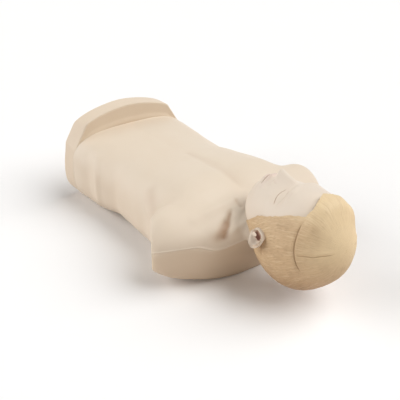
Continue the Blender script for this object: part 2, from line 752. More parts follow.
@dataclass
class BackShell:
    """Hard back tray in one moulding with the waist end wall, the raised rim and the rear of the neck."""

    form: TorsoForm = field(default_factory=TorsoForm)
    front_columns: int = 220
    back_columns: int = 84
    tray_rows: int = 150
    wall_rows: int = 12
    hem_steps: int = 2
    round_steps: int = 6
    rim_round: float = 0.0019
    # The rim narrows by this share, most at the level below
    pinch: float = 0.034
    pinch_level: float = 0.118
    pinch_reach: float = 0.034
    panel_sink: float = 0.0030
    panel_border: float = 0.016
    panel_middle: float = 0.085
    corner_lean: float = math.radians(31.5)
    corner_reach: float = 0.1766
    corner_taper: float = 0.005
    corner_soft: float = 0.0007
    wall_lip: float = 0.010
    wall_bead: float = 0.0022
    tongue: float = 0.004
    tongue_sink: float = 0.0024

    def outline(self, at: Array, turn: Array) -> tuple[Array, Array]:
        """Width and height of the rim, whose top falls from the middle to corners that are cut straight.

        Args:
            at: Places along the torso.
            turn: Angles from the right side, turning over the front.

        Returns:
            The widths and the heights.
        """
        form = self.form
        sizes = (form.waist_half_width, form.rim_front, form.waist_widest, form.waist_back, 3.6, 3.4)
        width, height = form.section_point(turn, [np.full_like(turn, size) for size in sizes])
        share = np.maximum(0, (height - form.waist_widest) / (form.rim_front - form.waist_widest))
        width = width * (1 - self.pinch * bell(height, self.pinch_level, self.pinch_reach))
        height = height - form.rim_fall * share * (np.hypot(width, form.rim_crown) - form.rim_crown)
        across, up = math.cos(self.corner_lean), math.sin(self.corner_lean)
        reach = self.corner_reach - self.corner_taper * np.clip(at / form.rim_depth, 0, 1)
        over = across * np.abs(width) + up * height - reach
        over = self.corner_soft * np.logaddexp(0, over / self.corner_soft)
        return width - np.sign(width) * across * over, height - up * over

    def ring(self, at: Array, turn: Array, inset: Array | float) -> Array:
        """Read the rim's outline, drawn in by an inset.

        Args:
            at: Places along the torso.
            turn: Angles from the right side, turning over the front.
            inset: Distances inwards.

        Returns:
            Points in the body's frame.
        """
        width, height = self.outline(at, turn)
        ahead, behind = self.outline(at, turn + 0.01), self.outline(at, turn - 0.01)
        out = np.stack((ahead[1] - behind[1], behind[0] - ahead[0]), 1)
        out /= np.linalg.norm(out, axis=1)[:, None]
        return np.stack((self.form.along(at), width - out[:, 0] * inset, height - out[:, 1] * inset), 1)

    def profile(self) -> list[Triple]:
        """Rows of the rim as place, inset and share of the end wall's radius.

        Returns:
            Rows from the middle of the end wall, round the outer edge and over the rim to its inner edge.
        """
        r, depth = self.rim_round, self.form.rim_depth
        arc = [math.pi / 2 * step / self.round_steps for step in range(self.round_steps + 1)]
        rows = [(self.panel_sink, 0.0, share) for share in (0.0, 0.25, 0.5, 0.72, 0.86)]
        rows += [(self.panel_sink, self.panel_border, 1.0), (0.0026, 0.0150, 1.0), (0.0006, 0.0134, 1.0)]
        rows += [(0.0, inset, 1.0) for inset in (0.0125, 0.0095, 0.0065)]
        rows += [(r - r * math.cos(a), r - r * math.sin(a), 1.0) for a in arc]
        rows += [(r + (depth - 2 * r) * step / 8, 0.0, 1.0) for step in range(1, 8)]
        rows += [(depth - r + r * math.sin(a), r - r * math.cos(a), 1.0) for a in arc]
        return rows

    def build_rim(self) -> Sheet:
        """Shape the end wall, the rim and the step wall behind it.

        Returns:
            The rim's sheet, closed round the waist.
        """
        profile = np.array(self.profile())
        sheet = Sheet(len(profile) - 1 + self.wall_rows, self.front_columns + self.back_columns)
        first = float(self.form.parting(np.array([0.0]))[0])
        edge = spread(self.front_columns, ((0, 0), (0.08, 0.06), (0.92, 0.94), (1, 1)))
        fronts = first + (math.pi - 2 * first) * edge
        backs = math.pi - first + (math.pi + 2 * first) * np.linspace(0, 1, self.back_columns + 1)
        turn = np.concatenate((fronts, backs[1:]))[sheet.column]
        at, inset, share = profile[np.clip(sheet.row, 0, len(profile) - 1)].T
        middle = np.stack((self.form.along(at), np.zeros_like(at), np.full_like(at, self.panel_middle)), 1)
        panel = middle + (self.ring(at, turn, self.panel_border) - middle) * share[:, None]
        points = np.where((share < 1)[:, None], panel, self.ring(at, turn, inset))

        depth = np.full_like(at, self.form.rim_depth)
        past = np.clip((sheet.row - len(profile) + 1) / self.wall_rows, 0, 1)
        last = self.ring(depth, turn, self.rim_round)
        low = self.form.plain(depth, turn) - self.form.normals(depth, turn) * self.wall_lip
        wall = last + (low - last) * past[:, None]
        wall[:, 0] += self.wall_bead * ramp(past, 0.55, 0.65) * ramp(past, 0.88, 0.78)
        points = np.where((past > 0)[:, None], wall, points)
        is_back = sheet.column >= self.front_columns
        inner_edge = sheet.row >= len(profile) - 1 - self.round_steps
        at_tray = inner_edge & (is_back | (sheet.column == 0))
        points = np.where(at_tray[:, None], self.ring(depth, turn, 0.0), points)
        points[:, 2] = np.maximum(points[:, 2], 0.0)
        sheet.shape(points)
        sheet.mark("fold", np.where(is_back, 0.0, 0.4 * ramp(past, 0.6, 0.9)))
        sheet.mark("edge", np.where(past > 0, 0.0, bell(np.abs(inset), self.rim_round, 0.004) * (share >= 1)))
        return sheet

    def build(self, material: bpy.types.Material) -> bpy.types.Object:
        """Shape the tray from the rim to the neck and join the rim to it.

        Args:
            material: Finish of the shell.

        Returns:
            The shell, riding with the torso.
        """
        hems = self.hem_steps
        sheet = Sheet(self.tray_rows, self.back_columns + 2 * hems)
        start, end = self.form.rim_depth, self.form.pivot_at + self.form.neck_end
        lengths = spread(self.tray_rows, ((0, 0), (0.4, 0.55), (0.92, 0.93), (1, 1)))
        at = start + (end - start) * lengths[sheet.row]
        parting = self.form.parting(at)
        share = np.clip((sheet.column - hems) / self.back_columns, 0, 1)
        turned = np.maximum(hems - sheet.column, sheet.column - self.back_columns - hems)
        under = np.clip(turned / hems, 0, 1)
        turn = math.pi - parting + share * (math.pi + 2 * parting)
        reach = self.tongue / self.form.parting_radius(at)
        tuck = reach * ease(under) * np.where(share > 0.5, 1, -1)
        points, fold = self.form.dressed(at, turn + tuck, -self.tongue_sink * ease(under))
        flush = self.form.plain(at, turn)
        flush[:, 2] = np.maximum(flush[:, 2], 0.0)
        points = np.where(((sheet.row == 0) & (under == 0))[:, None], flush, points)
        sheet.shape(points)
        sheet.mark("fold", np.maximum(0.5 * fold, 0.8 * under))
        sheet.mark("edge", bell(np.minimum(share, 1 - share), 0.0, 0.012))
        sheet.join(self.build_rim())
        sheet.weld(trunk_line)
        piece = sheet.finish("back_shell_moulded", material, Slot.SHELL)
        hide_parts("back_shell")
        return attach(piece, "torso")


def tube(route: Array, radius: Array, sides: int) -> Sheet:
    """Closed tube along a route.

    Args:
        route: Points of its middle line.
        radius: Radius at each of them.
        sides: Points round the tube.

    Returns:
        The tube's sheet, capped at both ends, with the number of its ring marked on each point.
    """
    count = len(route)
    sheet = Sheet(count + 1, sides)
    ring = np.clip(sheet.row - 1, 0, count - 1)
    along = np.gradient(route, axis=0)
    along /= np.linalg.norm(along, axis=1)[:, None]
    # A direction that no route here follows
    upright = np.array((0.03, 0.05, 1.0))
    side = np.cross(along, upright)
    side /= np.linalg.norm(side, axis=1)[:, None]
    over = np.cross(side, along)
    turn = sheet.column * math.tau / sides
    capped = np.where((sheet.row == 0) | (sheet.row == count + 1), 0.0, radius[ring])
    spoke = side[ring] * np.cos(turn)[:, None] + over[ring] * np.sin(turn)[:, None]
    sheet.shape(route[ring] + spoke * capped[:, None])
    sheet.mark("ring", ring.astype(float))
    return sheet


def smooth_route(route: Array, count: int) -> Array:
    """Points of a smooth curve through a route.

    Args:
        route: Points that it passes through.
        count: Steps between two of them.

    Returns:
        The curve's points.
    """
    ends = np.vstack((route[:1], route, route[-1:]))
    u = (np.arange(count) / count)[:, None]
    runs = []
    for before, start, end, after in zip(ends, ends[1:], ends[2:], ends[3:]):
        lead, trail = (end - before) / 2, (after - start) / 2
        runs.append(start * (2 * u ** 3 - 3 * u * u + 1) + lead * (u ** 3 - 2 * u * u + u)
                    + end * (3 * u * u - 2 * u ** 3) + trail * (u ** 3 - u * u))
    return np.vstack((*runs, route[-1:]))


@dataclass(frozen=True)
class HairDetail:
    """What the moulded hair adds to the plain head at each point.

    The strands run from -1 to 1 and the groove and tone from 0 to 1. The flow is a place across the sweep of
    the hair and along it.
    """

    rise: Array
    strands: Array
    groove: Array
    flow: Array
    tone: Array


@dataclass
class HairCap:
    """Back and top of the skull with the moulded hair, swept back and parted by grooves."""

    form: HeadForm = field(default_factory=HeadForm)
    front_columns: int = 130
    side_columns: int = 370
    crown_rows: int = 96
    curtain_rows: int = 120
    under_rows: int = 10
    tuck_rows: int = 2
    fringe: float = 0.009
    roll: float = 0.0052
    flat: float = 0.0065
    # Height of the groove round the head, by the angle from the face
    ring: Curve = Curve((36, 44, 66, 79, 89, 101, 114, 122),
                        (0.0620, 0.0614, 0.0594, 0.0587, 0.0592, 0.0608, 0.0639, 0.0660))
    top_radius: float = 0.085
    side_radius: float = 0.072
    side_slant: float = 0.28
    fall_radius: float = 0.095
    lock_width: float = 0.0122
    strand_width: float = 0.0051
    strand: float = 0.00028
    # Steps of the turned edge along the face, below the hair
    hems: tuple[float, ...] = (0.0, -0.0008, -0.0018, -0.0027)
    hem_rise: float = 0.0015

    def waves(self, across: Array, along: Array | float) -> Array:
        """Rise of the locks and strands.

        Args:
            across: Places across the sweep.
            along: Places along it.

        Returns:
            Heights between -1 and 1.
        """
        drift = 0.0011 * np.sin(along * 75 + across * 140) + 0.0006 * np.sin(along * 190 - across * 300)
        place = across + drift
        locks = np.sin(place * math.tau / self.lock_width + 1.9 * np.sin(place * 97 + along * 40))
        wander = 2.4 * np.sin(place * 131 + 0.5) + 2 * np.sin(along * 61)
        strands = np.sin(place * math.tau / self.strand_width + wander)
        patches = 0.55 + 0.45 * np.sin(place * 210 + along * 95 + 1.3 * np.sin(along * 52))
        return (0.5 * locks + 0.5 * strands) * patches

    @staticmethod
    def grooves(fold: Array, fall: Array, above: Array, up: Array, forward: Array) -> tuple[Array, Array]:
        """Grooves round the head, across its top and behind the ear.

        Args:
            fold: Angles from the face to either side, in degrees.
            fall: Angles from the crown, in degrees.
            above: Heights over the ring round the head.
            up: Heights from the head's middle.
            forward: Distances to the front of it.

        Returns:
            Rise, with a ledge beside each long groove, and groove from 0 to 1.
        """
        sides = ramp(fold, 38, 54) * ramp(fold, 122, 108)
        ring = sides * bell(above, 0.0, 0.0009)
        shelf = sides * bell(above, -0.0050, 0.0034)
        reach = ramp(fall, 9, 19) * ramp(fall, 48, 42)
        cross = reach * bell(forward, 0.0004 - 0.0014 * bell(fall, 30, 4), 0.0011)
        ledge = reach * bell(forward, 0.0045, 0.0030)
        tail = ramp(forward, -0.025, -0.009)
        slit = bell(up, -0.0100 + 0.13 * (forward + 0.017), 0.0014 + 0.0016 * tail)
        slit = slit * ease(tail * 1.8) * ramp(forward, 0.008, 0.004) * ramp(fold, 60, 70)
        rise = 0.0008 * shelf + 0.0006 * ledge - 0.0013 * ring - 0.0009 * cross - 0.0010 * slit
        return rise, np.maximum(np.maximum(ring, cross), slit)

    def relief(self, turn: Array, fall: Array) -> HairDetail:
        """Relief of the hair over the plain head.

        Args:
            turn: Angles from the face, in degrees.
            fall: Angles from the crown, in degrees.

        Returns:
            The hair's detail.
        """
        turn = (turn + 180) % 360 - 180
        fold = np.abs(turn)
        up, _, forward = self.form.point(turn, fall).T
        above = up - self.ring.read(fold)
        fringe = self.fringe * ramp(fold, 75, 35) * bell(fall, 38, 12)
        roll = self.roll * ramp(fold, 34, 16) * ramp(fall, 30, 46)
        flat = self.flat * bell(fall, 50, 24) * ramp(fold, 92, 136)

        # The hair over the ring is combed from the crown, and the hair below it slants back
        below = ramp(above, 0.0015, -0.0015) * ramp(fold, 30, 38)
        over = self.top_radius * np.radians(turn)
        under = self.side_radius * np.radians(fold) + self.side_slant * up
        length = self.fall_radius * np.radians(fall)
        waves = (1 - below) * self.waves(over, length) + below * self.waves(under, length)
        calm = (0.12 + 0.88 * ramp(fall, 10, 50)) * (1 - 0.8 * ramp(fall, 118, 132))
        flow = np.stack(((1 - below) * over + below * under, length, np.zeros_like(fall)), 1)

        cut, groove = self.grooves(fold, fall, above, up, forward)
        combed = self.strand * waves * calm * (1 - 0.7 * groove)
        tone = ramp(above, 0.042, -0.010) * ramp(fold, 24, 54)
        return HairDetail(fringe + roll - flat + combed + cut, waves * calm, groove, flow, tone)

    def lay(self, sheet: Sheet, turn: Array, fall: Array, hem: Array, under: Array) -> None:
        """Move a sheet's points over the head and mark the hair's detail on them.

        Args:
            sheet: Sheet to shape.
            turn: Angles from the face, in degrees.
            fall: Angles from the crown, in degrees.
            hem: Step of the turned hem along the face, 0 on the hair itself.
            under: Share of the way from the lower edge in to the neck opening; it is over 1 where the
                edge turns up there.
        """
        hair = self.relief(turn, fall)
        drop = np.interp(hem, np.arange(len(self.hems)), self.hems)
        rise = np.where(hem > 0, np.minimum(hair.rise, self.hem_rise), hair.rise)
        points = self.form.point(turn, fall, rise + drop)
        inwards = np.minimum(under, 1)
        points = points + (self.form.opening(turn) - points) * inwards[:, None]
        points[:, 0] += 0.006 * np.maximum(under - 1, 0)
        sheet.shape(self.form.to_body(points))
        sheet.mark("strand", np.where(hem > 0, -0.3, hair.strands * (1 - inwards)))
        sheet.mark("groove", np.where(hem > 0, 0.22, hair.groove))
        sheet.mark("flow", hair.flow)
        sheet.mark("tone", hair.tone)

    def build_front(self, levels: Array) -> Sheet:
        """Shape the hair over the forehead, with a slightly jagged edge.

        Args:
            levels: Share of the way from the crown to the hairline for each row.

        Returns:
            Its sheet.
        """
        temple = self.form.temple_turn
        sheet = Sheet(self.crown_rows + len(self.hems) - 1, self.front_columns)
        turn = temple * (2 * sheet.column / self.front_columns - 1)
        jag = self.waves(self.top_radius * np.radians(turn), 0.04) * ramp(np.abs(turn), temple, temple - 6)
        fall = (self.form.hairline(turn) + 0.7 * jag) * levels[np.minimum(sheet.row, self.crown_rows)]
        self.lay(sheet, turn, fall, np.maximum(sheet.row - self.crown_rows, 0), np.zeros_like(turn))
        return sheet

    def build_side(self, levels: Array) -> Sheet:
        """Shape the hair behind the face, down to the neck opening.

        Args:
            levels: Share of the way from the crown to the temple for each row.

        Returns:
            Its sheet.
        """
        hems = len(self.hems) - 1
        rows = self.crown_rows + self.curtain_rows + self.under_rows + self.tuck_rows
        sheet = Sheet(rows, self.side_columns + 2 * hems)
        share = np.clip((sheet.column - hems) / self.side_columns, 0, 1)
        hem = np.maximum(np.maximum(hems - sheet.column, sheet.column - hems - self.side_columns), 0)
        start, last = self.form.temple_fall, self.form.jaw_turn
        end = self.form.jaw_line(last + share * (360 - 2 * last))
        down = np.clip((sheet.row - self.crown_rows) / self.curtain_rows, 0, 1)
        crown = start * levels[np.minimum(sheet.row, self.crown_rows)]
        fall = np.where(sheet.row < self.crown_rows, crown, start + (end - start) * down)
        ragged = 0.4 * ramp(fall, start, start + 4) * np.sin(fall * 0.55 + 1.5 * np.sin(fall * 0.23))
        edge = self.form.face_edge(fall) + ragged
        turn = edge + share * (360 - 2 * edge)
        past = sheet.row - self.crown_rows - self.curtain_rows
        tuck = np.maximum(past - self.under_rows, 0) / self.tuck_rows
        under = np.clip(past / self.under_rows, 0, 1) + tuck
        self.lay(sheet, turn, fall, hem, under)
        sheet.drop((hem > 0) & (sheet.row < self.crown_rows))
        return sheet

    def build(self, material: bpy.types.Material) -> bpy.types.Object:
        """Shape the hair over the forehead and the hair behind the face, and join them.

        Args:
            material: Finish of the hair.

        Returns:
            The hair cap, riding with the head.
        """
        levels = spread(self.crown_rows, ((0, 0), (0.10, 0.16), (0.80, 0.86), (1, 1)))
        sheet = self.build_front(levels)
        sheet.join(self.build_side(levels))
        middle = self.form.middle()
        sheet.weld(lambda point: middle)
        piece = sheet.finish("hair_cap_moulded", material, Slot.HAIR)
        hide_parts("hair_cap")
        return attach(piece, "head")


@dataclass
class FaceMask:
    """Soft face, calm with closed eyes, from under the hair to the neck opening; the mouth is open."""

    form: HeadForm = field(default_factory=HeadForm)
    columns: int = 210
    rows: int = 250
    under_rows: int = 16
    tuck: float = 2.5
    nose_root: float = 0.008
    nose_length: float = 0.040
    nose_rise: float = 0.0215
    eye_side: float = 0.031
    eye_half_width: float = 0.0150
    mouth_up: float = -0.0595
    mouth_half_width: float = 0.0165
    mouth_half_height: float = 0.0030
    mouth_depth: float = 0.011
    # Rise, place (up and to the side) and reach of the soft forms: eye socket, eyeball, brow, cheekbone,
    # mouth, upper lip, lower lip, chin and the dip over it
    swellings: tuple[tuple[float, tuple[float, float], tuple[float, float]], ...] = (
        (-0.010, (0.001, 0.031), (0.011, 0.016)), (0.0065, (-0.001, 0.031), (0.0085, 0.0115)),
        (0.004, (0.017, 0.026), (0.007, 0.020)), (0.004, (-0.022, 0.045), (0.016, 0.014)),
        (0.006, (-0.058, 0.0), (0.018, 0.024)), (0.004, (-0.0525, 0.0), (0.0045, 0.017)),
        (0.0045, (-0.067, 0.0), (0.005, 0.015)), (0.007, (-0.093, 0.0), (0.012, 0.016)),
        (-0.003, (-0.079, 0.0), (0.005, 0.016)))

    @staticmethod
    def hump(up: Array, side: Array, at: tuple[float, float], reach: tuple[float, float]) -> Array:
        """Bell over the face, the same on both sides."""
        return bell(up, at[0], reach[0]) * bell(np.abs(side), at[1], reach[1])

    def nose(self, up: Array, side: Array) -> Array:
        """Straight bridge that widens to the wings and turns in below the tip.

        Args:
            up: Heights on the face.
            side: Distances from its middle.

        Returns:
            Rise of the nose.
        """
        share = np.maximum(0, (self.nose_root - up) / self.nose_length)
        length = np.minimum(1, share) ** 1.1 * ramp(share, 1.34, 0.92)
        return self.nose_rise * length * bell(side, 0.0, 0.0075 + 0.0072 * np.minimum(share, 1))

    def gape(self, up: Array, side: Array) -> Array:
        """How deep a place lies in the open mouth, from 0 on the lips to 1 inside."""
        reach = (side / self.mouth_half_width) ** 2 + ((up - self.mouth_up) / self.mouth_half_height) ** 2
        return ramp(reach, 1.25, 0.5)

    def lid_line(self, side: Array, middle: float, sag: float) -> Array:
        """Height of a line across the closed eye at a distance from the middle of the face."""
        return middle + sag * (1 - ((np.abs(side) - self.eye_side) / self.eye_half_width) ** 2)

    def relief(self, up: Array, side: Array) -> tuple[Array, Array]:
        """Relief of a calm, general face over the plain head.

        Args:
            up: Heights on the face.
            side: Distances from its middle.

        Returns:
            Rise, and how deep each place lies in a fold.
        """
        rise = self.nose(up, side)
        for swell, at, reach in self.swellings:
            rise += swell * self.hump(up, side, at, reach)
        eye = ramp(np.abs(np.abs(side) - self.eye_side), 0.0155, 0.0115)
        lashes = eye * bell(up, self.lid_line(side, -0.0025, -0.0042), 0.0008)
        crease = eye * bell(up, self.lid_line(side, 0.0020, 0.0042), 0.0010)
        pouch = eye * bell(up, self.lid_line(side, -0.0060, -0.0050), 0.0014)
        nostril = self.hump(up, side, (-0.0375, 0.0070), (0.0023, 0.0034))
        wing = self.hump(up, side, (-0.0290, 0.0165), (0.0055, 0.0022))
        groove = self.hump(up, side, (-0.0455, 0.0), (0.0050, 0.0026))
        smile_side = 0.0215 + 0.36 * np.maximum(0, -0.034 - up)
        smile = bell(np.abs(side), smile_side, 0.0028) * bell(up, -0.043, 0.010)
        parting = bell(up, self.mouth_up, 0.0016) * ramp(np.abs(side), 0.0235, 0.0175)
        rise += -0.0012 * lashes - 0.0008 * crease - 0.0005 * pouch - 0.0036 * nostril - 0.0013 * wing
        rise += -0.0010 * groove - 0.0008 * smile - 0.0022 * parting
        folds = 0.8 * lashes + 0.3 * crease + 0.9 * nostril + 0.25 * wing + 0.1 * smile + 0.5 * parting
        return rise, np.clip(folds, 0, 1)

    def build(self, material: bpy.types.Material) -> bpy.types.Object:
        """Shape the face.

        Args:
            material: Finish of the face.

        Returns:
            The face, bending between the head and the jaw.
        """
        sheet = Sheet(self.rows + self.under_rows, self.columns)
        stops = ((0, 0), (0.20, 0.30), (0.40, 0.46), (0.56, 0.62), (0.63, 0.70), (0.86, 0.82), (1, 1))
        level = spread(self.rows, stops)[np.minimum(sheet.row, self.rows)]
        share = 2 * spread(self.columns, ((0, 0), (0.14, 0.22), (0.86, 0.78), (1, 1)))[sheet.column] - 1
        top = self.form.hairline(share * self.form.temple_turn) - self.tuck
        fall = top + (self.form.jaw_line(share * self.form.jaw_turn) - top) * level
        turn = share * (self.form.face_edge(fall) + self.tuck)
        points = self.form.point(turn, fall, -self.form.face_sink)
        up, side, forward = points.T.copy()
        ahead = ramp(forward, 0.015, 0.050)
        rise, folds = self.relief(up, side)
        gape = self.gape(up, side)
        points[:, 2] += (rise - self.mouth_depth * gape) * ahead
        past = np.maximum(sheet.row - self.rows, 0) / self.under_rows
        ring = self.form.opening(np.clip(turn, -self.form.jaw_turn, self.form.jaw_turn))
        points = points + (ring - points) * past[:, None]
        sheet.shape(self.form.to_body(points))
        upper_lip = self.hump(up, side, (-0.0525, 0.0), (0.0042, 0.016))
        lower_lip = self.hump(up, side, (-0.067, 0.0), (0.0046, 0.014))
        sheet.mark("fold", np.maximum(folds, gape) * (past == 0))
        sheet.mark("lips", np.clip(1.3 * (upper_lip + lower_lip), 0, 1) * (past == 0))
        swing = ramp(up, self.mouth_up, self.mouth_up - 0.006) * ramp(up, -0.035, -0.065)
        sheet.mark("swing", swing * ramp(np.abs(share), 1.0, 0.55) * ramp(past, 0.9, 0.0))
        sheet.drop((gape > 0.995) & (past == 0))
        middle = self.form.middle()
        sheet.weld(lambda point: middle)
        piece = sheet.finish("face_mask_soft", material, Slot.FACE)
        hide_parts("face_mask")
        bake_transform(piece)
        values_of(piece, "swing")
        return piece


@dataclass
class Ear:
    """Soft ear on the side of the hair, with helix, inner fold, hollow, tragus and lobe."""

    side: Side
    form: HeadForm = field(default_factory=HeadForm)
    rings: int = 44
    columns: int = 110
    wall_rows: int = 5
    up: float = -0.016
    forward: float = 0.011
    half_height: float = 0.0212
    half_depth: float = 0.0152
    lean: float = 0.0016
    rise: float = 0.0085
    lift: float = 0.75
    undercut: float = 0.42
    sink: float = 0.0010

    def heights(self, share: Array, turn: Array) -> tuple[Array, Array]:
        """Relief of the ear over the side of the head.

        Args:
            share: Shares of the radius.
            turn: Angles from the front edge, turning down.

        Returns:
            Heights, and how dark the hollow is from 0 to 1.
        """
        crown, front = -np.sin(turn) * share, np.cos(turn) * share
        rear = 0.5 - 0.5 * np.cos(turn)
        low = ramp(np.sin(turn), 0.375, 1.0)
        hollow = np.hypot((crown + 0.06) / 0.70, (front - 0.10) / 0.70)
        bump = bell(crown, -0.54, 0.40) * bell(front, 0.10, 0.30)
        helix = bell(share, 0.95, 0.045) * (0.62 + 0.38 * rear) * (1 - 0.35 * low)
        fold = 0.80 * bell(hollow, 1.10, 0.07) * ease(rear * 1.5 - 0.1) * (1 - 0.5 * low)
        lobe = 0.52 * bell(share, 0.80, 0.20) * low
        tragus = 0.62 * bell(crown, -0.14, 0.22) * bell(front, 0.80, 0.12)
        bowl = ramp(hollow, 1.08, 0.84) * (1 - 0.85 * bump)
        ridge = 0.30 + 0.70 * np.maximum.reduce((helix, fold, lobe, tragus))
        ridge = ridge + self.lift * ramp(front, 0.2, -0.9)
        height = ridge * (1 - bowl) + 0.03 * bowl
        dark = ramp(hollow, 1.06, 0.46) * ramp(bump, 0.56, 0.26)
        return self.rise * np.maximum(height, 0.02), np.clip(dark, 0, 1)

    def build(self, material: bpy.types.Material) -> bpy.types.Object:
        """Shape the ear.

        Args:
            material: Finish of the ear.

        Returns:
            The ear, riding with the head.
        """
        sheet = Sheet(self.rings + self.wall_rows, self.columns)
        share = np.minimum(sheet.row / self.rings, 1.0)
        turn = sheet.column * math.tau / self.columns
        front, low = np.cos(turn), np.sin(turn)
        down = np.maximum(sheet.row - self.rings, 0) / self.wall_rows
        narrow = 1 - 0.34 * ease(low * 1.3) * np.abs(front) - 0.05 * ease(-front)
        up = -self.half_height * share * low
        forward = self.half_depth * share * front * narrow - self.lean * low * share
        base = self.form.half_width(self.up + up, self.forward + forward)
        height, dark = self.heights(share, turn)
        over = base + height * (1 - down) - self.sink * down
        curl = 1 - 0.03 * np.sin(down * math.pi)
        curl = curl - self.undercut * ease(-front * 1.4 + 0.2) * ease(down * 1.3)
        points = np.stack((self.up + up * curl, over * self.side.value, self.forward + forward * curl), 1)
        sheet.shape(self.form.to_body(points))
        gully = bell(share, 0.84, 0.05) * ease(-front * 1.5) * (1 - down)
        sheet.mark("fold", np.maximum.reduce((0.9 * ease(dark * 2), 0.30 * gully, 0.6 * down)))
        lit = ramp(0.7 * share * (front - low), 0.05, 0.50)
        sheet.mark("canal", dark * (1 - 0.55 * lit))
        inside = Vector(self.form.to_body(np.array([[self.up, 0.03 * self.side.value, self.forward]]))[0])
        sheet.weld(lambda point: inside)
        name = self.side.name.lower()
        piece = sheet.finish(f"ear_{name}_soft", material, Slot.FACE)
        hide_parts(f"ear_{name}")
        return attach(piece, "head")


@dataclass
class Airway:
    """Breathing parts inside: corrugated tube from the mouth's duct to the flat lung bag."""

    torso: TorsoForm = field(default_factory=TorsoForm)
    head: HeadForm = field(default_factory=HeadForm)
    radius: float = 0.0059
    rib_depth: float = 0.0005
    ribs: int = 34
    tube_sides: int = 20
    tube_level: float = 0.11
    bag_from: float = 0.2712
    bag_to: float = 0.3852
    bag_turn: float = math.radians(25.0)
    bag_depth: float = 0.0059
    bag_wall: float = 0.0016
    bag_level: float = 0.146
    bag_steps: int = 60

    def build_tube(self, material: bpy.types.Material) -> bpy.types.Object:
        """Shape the tube over the hinge and down the neck.

        Args:
            material: Finish of the film.

        Returns:
            The tube, bending between torso and head.
        """
        in_head = ((0.026, 0.0568), (0.0255, 0.0468), (0.022, 0.033), (0.010, 0.021), (-0.006, 0.019))
        in_neck = ((0.485, 0.111), (0.460, 0.1055), (0.420, 0.103), (0.402, 0.109), (0.393, 0.120))
        matrix = self.head.frame()
        route = [matrix @ Vector((up, 0, out)) for up, out in in_head]
        route += [Vector((self.torso.along(at), 0, height)) for at, height in in_neck]
        points = smooth_route(np.array(route), 24)
        wave = np.sin(np.linspace(0, math.tau * self.ribs, len(points)))
        sheet = tube(points, self.radius - self.rib_depth + self.rib_depth * wave, self.tube_sides)
        sheet.weld(lambda point: Vector((point.x, 0, self.tube_level)))
        piece = sheet.finish("airway_tube_ribbed", material, Slot.FILM)
        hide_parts("airway_tube")
        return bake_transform(piece)

    def bag_side(self, outwards: int) -> Sheet:
        """Shape one side of the bag, softly uneven inside its welded border.

        Args:
            outwards: 1 for the side under the skin, -1 for the side on the rib plate.

        Returns:
            Its sheet.
        """
        steps = self.bag_steps
        sheet = Sheet(steps, steps)
        u, v = sheet.row / steps, sheet.column / steps
        at = self.bag_from + (self.bag_to - self.bag_from) * u
        turn = math.pi / 2 + self.bag_turn * (2 * v - 1)
        border = np.minimum(np.minimum(u, 1 - u), np.minimum(v, 1 - v))
        swell = ramp(border, 0.0, 0.06) * (0.75 + 0.25 * np.sin(u * 9 + 3 * v) * np.sin(v * 11))
        depth = self.bag_depth + self.bag_wall / 2 * (1 - outwards * swell)
        sheet.shape(self.torso.plain(at, turn) - self.torso.normals(at, turn) * depth[:, None])
        return sheet

    def build_bag(self, material: bpy.types.Material) -> bpy.types.Object:
        """Shape the flat bag on the rib plate, with a welded border.

        Args:
            material: Finish of the film.

        Returns:
            The bag, riding with the chest.
        """
        sheet = self.bag_side(1)
        sheet.join(self.bag_side(-1))
        sheet.weld(lambda point: Vector((point.x, point.y, self.bag_level)))
        piece = sheet.finish("lung_bag_flat", material, Slot.FILM)
        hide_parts("lung_bag")
        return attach(piece, "chest")


@dataclass
class ReturnSpring:
    """Coil spring round the plunger's axis, that shortens as the chest goes down."""

    wire: float = 0.0023
    wire_sides: int = 10
    radius: float = 0.0215
    turns: int = 8
    steps: int = 36
    axis_x: float = -0.01822

    def build(self, material: bpy.types.Material) -> bpy.types.Object:
        """Wind the spring between its seats, with a flat turn at each end.

        Args:
            material: Finish of the wire.

        Returns:
            The spring, its top following the chest.
        """
        low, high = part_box("compression_spring")
        count = self.turns * self.steps
        share = np.arange(count + 1) / count
        climb = np.clip((share * self.turns - 1) / (self.turns - 2), 0, 1)
        level = low.z + self.wire + (high.z - low.z - 2 * self.wire) * climb
        turn = share * self.turns * math.tau
        route = np.stack((self.axis_x + self.radius * np.cos(turn), self.radius * np.sin(turn), level), 1)
        sheet = tube(route, np.full(len(route), self.wire), self.wire_sides)
        sheet.mark("climb", climb[sheet.marks["ring"].astype(int)])
        sheet.close()
        piece = sheet.finish("compression_spring_wound", material, Slot.STEEL)
        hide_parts("compression_spring")
        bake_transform(piece)
        values_of(piece, "climb")
        return piece


@dataclass(frozen=True)
class Value:
    """Shader value that is added, multiplied and compared like a number."""

    graph: "Graph"
    socket: bpy.types.NodeSocket

    def combine(self, operation: str, first: Any, second: Any) -> "Value":
        """Join two values by a Math node."""
        return self.graph.node("ShaderNodeMath", {"operation": operation}, {0: first, 1: second})

    def __add__(self, other: Any) -> "Value":
        """Sum with a value or a number."""
        return self.combine("ADD", self, other)

    def __radd__(self, other: Any) -> "Value":
        """Sum with a number that stands first."""
        return self.combine("ADD", other, self)

    def __mul__(self, other: Any) -> "Value":
        """Product with a value or a number."""
        return self.combine("MULTIPLY", self, other)

    def __rmul__(self, other: Any) -> "Value":
        """Product with a number that stands first."""
        return self.combine("MULTIPLY", other, self)

    def larger(self, other: Any) -> "Value":
        """The larger of two values."""
        return self.combine("MAXIMUM", self, other)

    def between(self, low: float, high: float) -> "Value":
        """Share of the way from low to high, held between 0 and 1."""
        return self.graph.node("ShaderNodeMapRange", {"clamp": True, "interpolation_type": "SMOOTHSTEP"},
                               {0: self, 1: low, 2: high, 3: 0.0, 4: 1.0})


